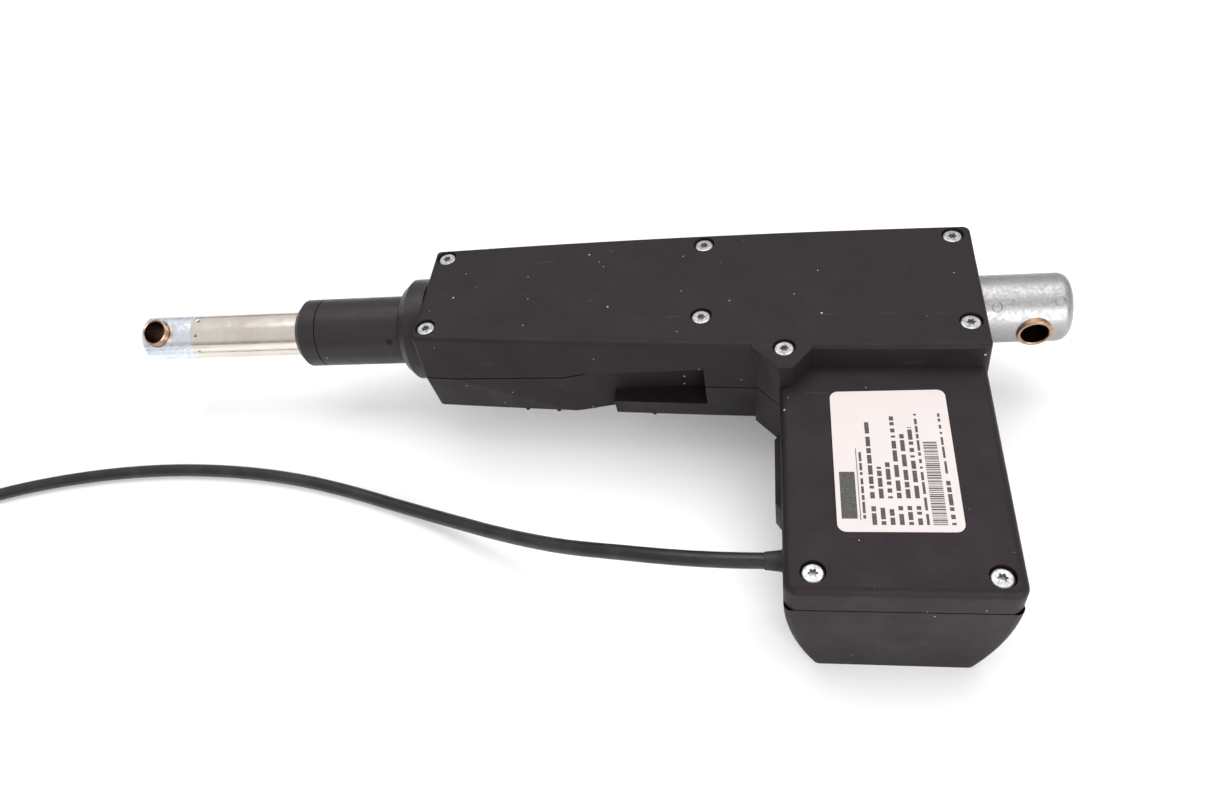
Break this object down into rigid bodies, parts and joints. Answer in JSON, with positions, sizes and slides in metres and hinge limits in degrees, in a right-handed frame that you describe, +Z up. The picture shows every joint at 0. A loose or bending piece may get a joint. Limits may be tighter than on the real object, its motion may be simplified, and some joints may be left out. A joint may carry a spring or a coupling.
{
  "type": "linear actuator",
  "caption": "Electric linear actuator: a straight housing with a sliding rod and eye, a sideways gear motor, a rear mounting bore and a lead with a plug.",
  "frame": {"origin": "centre of the rear mounting bore, on the spindle's axis", "axes": "+X the way the rod pushes, +Y from the spindle towards the motor's end and along the rear bore, +Z up through the cover with the screws"},
  "size_m": [0.5396, 0.2274, 0.0628],
  "materials": {
    "housing_plastic": "fine moulded texture, satin",
    "screw_steel": "zinc plated",
    "label_film": "printed film",
    "cast_metal": "sand-grained cast surface",
    "bronze": "sintered bronze",
    "bearing_steel": "ground",
    "machined_steel": "turned",
    "gear_nylon": "natural nylon",
    "dark_core": "laminated",
    "copper": "enamelled wire",
    "tube_black": "satin black coating",
    "rubber_black": "moulded rubber",
    "cord_sheath": "smooth sheath",
    "stainless": "polished, slightly warm",
    "zinc_steel": "zinc plated, blue-white",
    "board_green": "solder mask",
    "switch_plastic": "moulded",
    "plug_nickel": "nickel plated"
  },
  "bodies": {
    "housing": {"upper_housing": "housing_plastic", "lower_housing": "housing_plastic", "side_cover": "housing_plastic", "housing_screws": "screw_steel", "rating_label": "label_film", "rear_fixture": "cast_metal", "rear_fixture_bush": "bronze", "rear_bearing_outer_ring": "bearing_steel", "front_bearing_outer_ring": "bearing_steel", "bearing_balls": "bearing_steel", "bearing_block": "cast_metal", "motor_can": "machined_steel", "motor_flange": "machined_steel", "motor_front_bush": "bronze", "motor_rear_bush": "bronze", "worm_end_bush": "bronze", "motor_magnets": "dark_core", "brush_holder": "gear_nylon", "carbon_brushes": "dark_core", "front_collar": "housing_plastic", "outer_tube": "tube_black", "tube_nose_cap": "tube_black", "rod_guide_bush": "gear_nylon", "rod_seal": "rubber_black", "circuit_board": "board_green", "limit_switches": "switch_plastic", "cord_grommet": "rubber_black", "power_cord": "cord_sheath", "cord_tail": "cord_sheath", "cord_coil": "cord_sheath", "plug_body": "cord_sheath", "plug_tip": "plug_nickel"},
    "armature": {"motor_shaft": "machined_steel", "worm": "machined_steel", "armature_core": "dark_core", "armature_windings": "copper", "commutator": "copper"},
    "spindle": {"spindle": "machined_steel", "worm_wheel": "gear_nylon", "rear_bearing_inner_ring": "bearing_steel", "front_bearing_inner_ring": "bearing_steel"},
    "rod": {"spindle_nut": "gear_nylon", "piston_rod": "stainless", "rod_eye": "zinc_steel", "rod_eye_bush": "bronze"}
  },
  "joints": [
    {"name": "motor_spin", "type": "hinge", "parent": "housing", "child": "armature", "pos_m": [0.0603, 0, -0.014], "axis": [0, 1, 0], "range_deg": [-97200, 172800]},
    {"name": "spindle_spin", "type": "hinge", "parent": "housing", "child": "spindle", "pos_m": [0, 0, 0], "axis": [1, 0, 0], "range_deg": [-8641, 4861]},
    {"name": "rod_slide", "type": "slide", "parent": "housing", "child": "rod", "axis": [1, 0, 0], "range_m": [-0.05401, 0.09601]}
  ],
  "couplings": [
    {"joint": "spindle_spin", "follows": "motor_spin", "ratio": -0.05},
    {"joint": "rod_slide", "follows": "motor_spin", "m_per_rad": 0.000031831}
  ]
}
